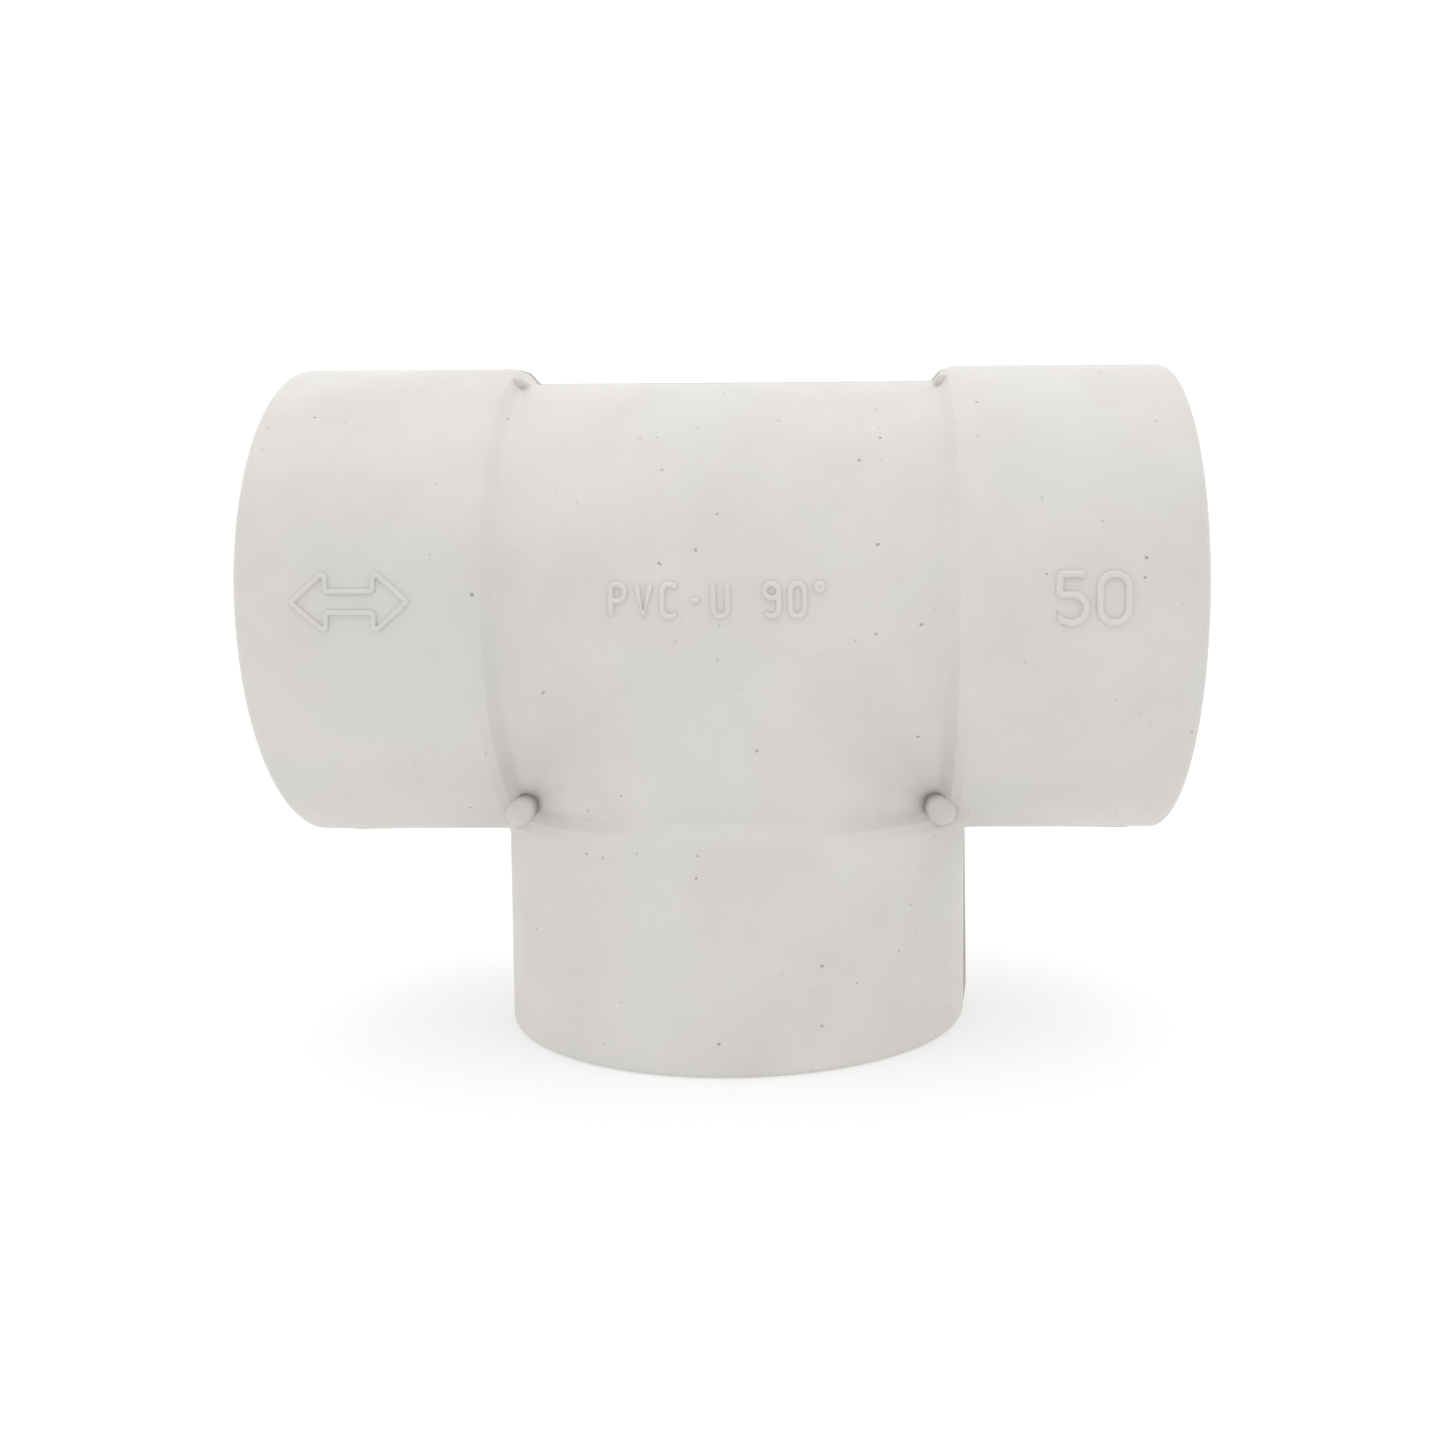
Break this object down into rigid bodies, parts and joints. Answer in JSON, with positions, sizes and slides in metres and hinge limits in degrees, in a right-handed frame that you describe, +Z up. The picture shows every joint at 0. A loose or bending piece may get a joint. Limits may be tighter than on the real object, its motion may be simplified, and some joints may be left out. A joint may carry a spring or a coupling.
{
  "type": "pvc pipe tee",
  "caption": "Equal 90 degree pipe tee in rigid PVC with plain solvent-weld sockets on the run and the branch, for joining 50 mm drainage or irrigation pipe.",
  "frame": {"origin": "centre of the branch mouth, on the plane of its rim, which the tee stands on", "axes": "+X along the run towards the socket marked 50, +Z up the branch towards the barrel, -Y towards the side with the raised marks"},
  "size_m": [0.102, 0.0565, 0.079],
  "materials": {
    "pvc": "satin, as moulded, light warm grey"
  },
  "bodies": {
    "root": {"tee_body": "pvc", "run_socket_left": "pvc", "run_socket_right": "pvc", "branch_socket": "pvc"}
  },
  "joints": []
}
